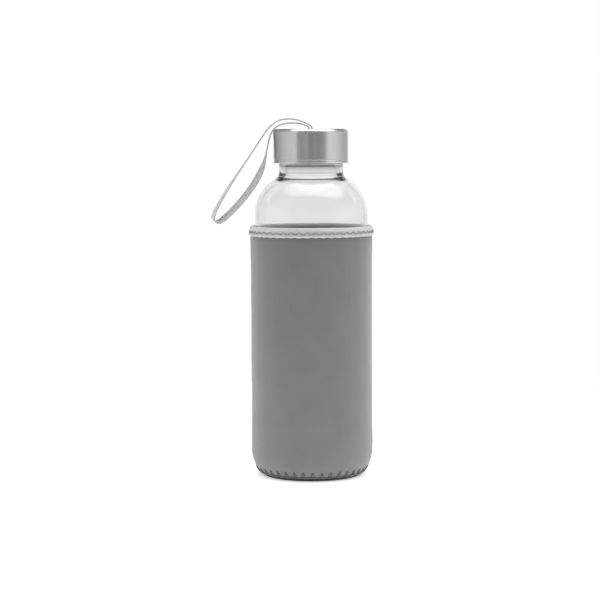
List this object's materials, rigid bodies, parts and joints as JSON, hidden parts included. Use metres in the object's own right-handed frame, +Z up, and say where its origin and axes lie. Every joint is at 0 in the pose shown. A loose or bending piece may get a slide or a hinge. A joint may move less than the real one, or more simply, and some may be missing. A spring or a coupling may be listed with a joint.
{
  "type": "glass water bottle",
  "caption": "Glass water bottle in a neoprene sleeve with a bound top edge, a brushed steel screw cap and a flat ribbon carrying loop.",
  "frame": {"origin": "centre of the sleeve's flat base, on the surface the bottle stands on", "axes": "+Z up along the bottle's axis, -Y the front, +X to the right seen from the front; the strap hangs to -X"},
  "size_m": [0.0927, 0.072, 0.2057],
  "materials": {
    "neoprene": "matt knitted face on foam",
    "neoprene_base": "matt knitted face on foam",
    "binding_tape": "soft elastic tape",
    "grey_thread": "twisted thread",
    "dark_thread": "twisted thread",
    "clear_glass": "clear, fire polished",
    "silicone": "translucent white silicone",
    "steel": "brushed round the cap",
    "insert_plastic": "moulded polypropylene",
    "ribbon": "woven flat ribbon"
  },
  "bodies": {
    "sleeve": {"sleeve_wall": "neoprene", "sleeve_base": "neoprene_base", "sleeve_binding": "binding_tape", "binding_stitches": "grey_thread", "base_seam_stitches": "dark_thread", "back_seam_stitches": "grey_thread"},
    "bottle": {"glass_bottle": "clear_glass"},
    "seal": {"cap_gasket": "silicone"},
    "cap": {"cap_shell": "steel", "cap_insert": "insert_plastic", "strap_pin": "steel", "strap_root": "ribbon"},
    "strap": {"carry_strap": "ribbon"}
  },
  "joints": [
    {"name": "bottle_lift", "type": "slide", "parent": "sleeve", "child": "bottle", "axis": [0, 0, 1], "range_m": [0, 0.165]},
    {"name": "cap_rise", "type": "slide", "parent": "bottle", "child": "seal", "axis": [0, 0, 1], "range_m": [0, 0.0053]},
    {"name": "cap_turn", "type": "hinge", "parent": "seal", "child": "cap", "pos_m": [0, 0, 0.19], "axis": [0, 0, 1], "range_deg": [0, 450]},
    {"name": "strap_swing", "type": "hinge", "parent": "cap", "child": "strap", "pos_m": [0, 0, 0.2009], "axis": [0, 1, 0], "range_deg": [0, 135]}
  ],
  "couplings": [
    {"joint": "cap_rise", "follows": "cap_turn", "m_per_rad": 0.00067322}
  ]
}
